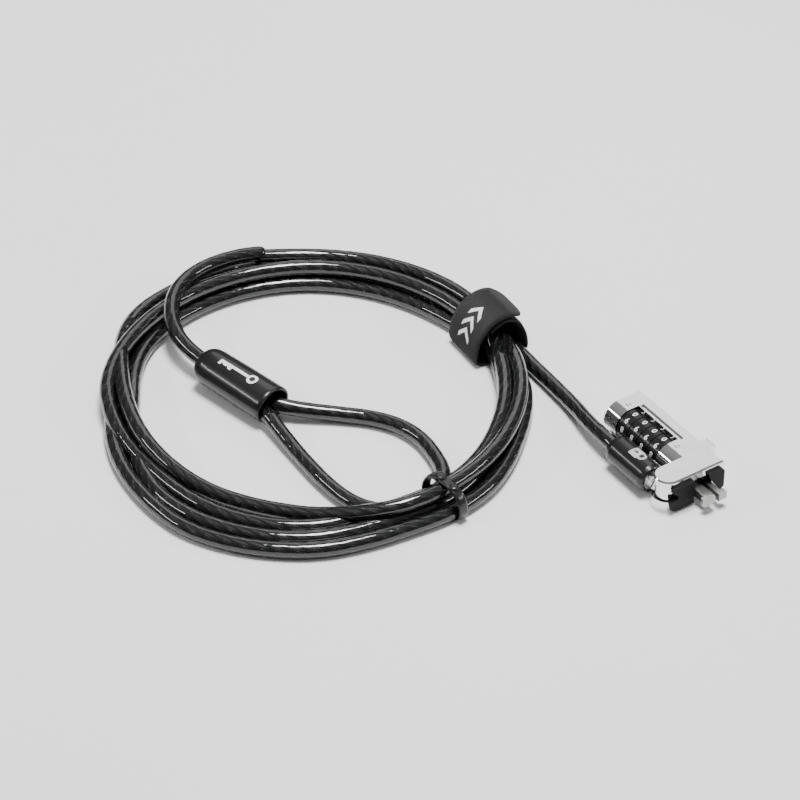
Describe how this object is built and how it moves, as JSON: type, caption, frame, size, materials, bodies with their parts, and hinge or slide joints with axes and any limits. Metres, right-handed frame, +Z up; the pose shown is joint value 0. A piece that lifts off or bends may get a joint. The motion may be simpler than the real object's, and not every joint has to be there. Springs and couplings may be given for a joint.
{
  "type": "laptop cable lock",
  "caption": "Combination laptop lock with a chrome head, digit wheels, hook jaws, push-button release and a coiled steel cable ending in a sleeved loop.",
  "frame": {"origin": "middle of the lock head's footprint, on the surface it lies on", "axes": "+X from the head's rear towards the hook jaws, +Y towards the release button, +Z up; the cable leaves towards -X"},
  "size_m": [0.2023, 0.1685, 0.0186],
  "materials": {
    "wheel_black": "moulded gloss black with white digits",
    "brass_inner": "machined",
    "spring_steel": "spring temper",
    "screw_steel": "zinc plated",
    "chrome": "polished chrome on die-cast zinc",
    "jaw_steel": "satin hardened steel",
    "pad_rubber": "matt moulded rubber",
    "sleeve_plastic": "soft gloss black moulding",
    "crimp_metal": "pressed",
    "cable_jacket": "tinted clear PVC over twisted steel rope",
    "strap_fabric": "woven hook-and-loop tape",
    "tie_plastic": "moulded nylon"
  },
  "bodies": {
    "cable_assembly": {"cable_eye": "chrome", "cable_collar": "chrome", "crimp_ferrule": "crimp_metal", "cable_end": "cable_jacket", "strain_relief": "sleeve_plastic", "cable_lead": "cable_jacket", "cable_coil": "cable_jacket", "cable_tail": "cable_jacket", "cable_loop": "cable_jacket", "loop_sleeve": "sleeve_plastic", "loop_crimp": "crimp_metal", "coil_strap": "strap_fabric", "coil_tie": "tie_plastic"},
    "head": {"case_screw_1": "screw_steel", "case_screw_2": "screw_steel", "detent_spring": "spring_steel", "front_pad_far": "pad_rubber", "front_pad_near": "pad_rubber", "housing_base": "chrome", "housing_top": "chrome", "jaw_blade": "jaw_steel", "jaw_clamp": "chrome", "jaw_seat": "jaw_steel", "near_jaw": "jaw_steel", "pivot_pin": "chrome", "release_spring": "spring_steel", "spindle_spring": "spring_steel", "wheel_washer_1": "spring_steel", "wheel_washer_2": "spring_steel", "wheel_washer_3": "spring_steel"},
    "release": {"release_button": "chrome", "release_slide": "jaw_steel", "release_cam": "jaw_steel", "far_jaw": "jaw_steel"},
    "spindle": {"spindle": "brass_inner"},
    "wheel_1": {"digit_wheel_1": "wheel_black", "code_hub_1": "brass_inner"},
    "wheel_2": {"digit_wheel_2": "wheel_black", "code_hub_2": "brass_inner"},
    "wheel_3": {"digit_wheel_3": "wheel_black", "code_hub_3": "brass_inner"},
    "wheel_4": {"digit_wheel_4": "wheel_black", "code_hub_4": "brass_inner"}
  },
  "joints": [
    {"name": "head_swivel", "type": "hinge", "parent": "cable_assembly", "child": "head", "pos_m": [0.014, -0.0084, 0.0068], "axis": [0, 0, 1], "range_deg": [-110, 0]},
    {"name": "wheel_1_turn", "type": "hinge", "parent": "head", "child": "wheel_1", "pos_m": [-0.01706, 0.0018, 0.0061], "axis": [1, 0, 0], "continuous": true},
    {"name": "wheel_2_turn", "type": "hinge", "parent": "head", "child": "wheel_2", "pos_m": [-0.01179, 0.0018, 0.0061], "axis": [1, 0, 0], "continuous": true},
    {"name": "wheel_3_turn", "type": "hinge", "parent": "head", "child": "wheel_3", "pos_m": [-0.00651, 0.0018, 0.0061], "axis": [1, 0, 0], "continuous": true},
    {"name": "wheel_4_turn", "type": "hinge", "parent": "head", "child": "wheel_4", "pos_m": [-0.00125, 0.0018, 0.0061], "axis": [1, 0, 0], "continuous": true},
    {"name": "release_press", "type": "slide", "parent": "head", "child": "release", "axis": [0, -1, 0], "range_m": [0, 0.0011], "stiffness_N_per_m": 3000, "springref_m": -0.0005, "deforming": ["release_spring"]},
    {"name": "spindle_shift", "type": "slide", "parent": "head", "child": "spindle", "axis": [-1, 0, 0], "range_m": [0, 0.0011], "stiffness_N_per_m": 800, "springref_m": -0.0002, "deforming": ["spindle_spring"]}
  ],
  "couplings": [
    {"joint": "spindle_shift", "follows": "release_press", "ratio": 1}
  ]
}
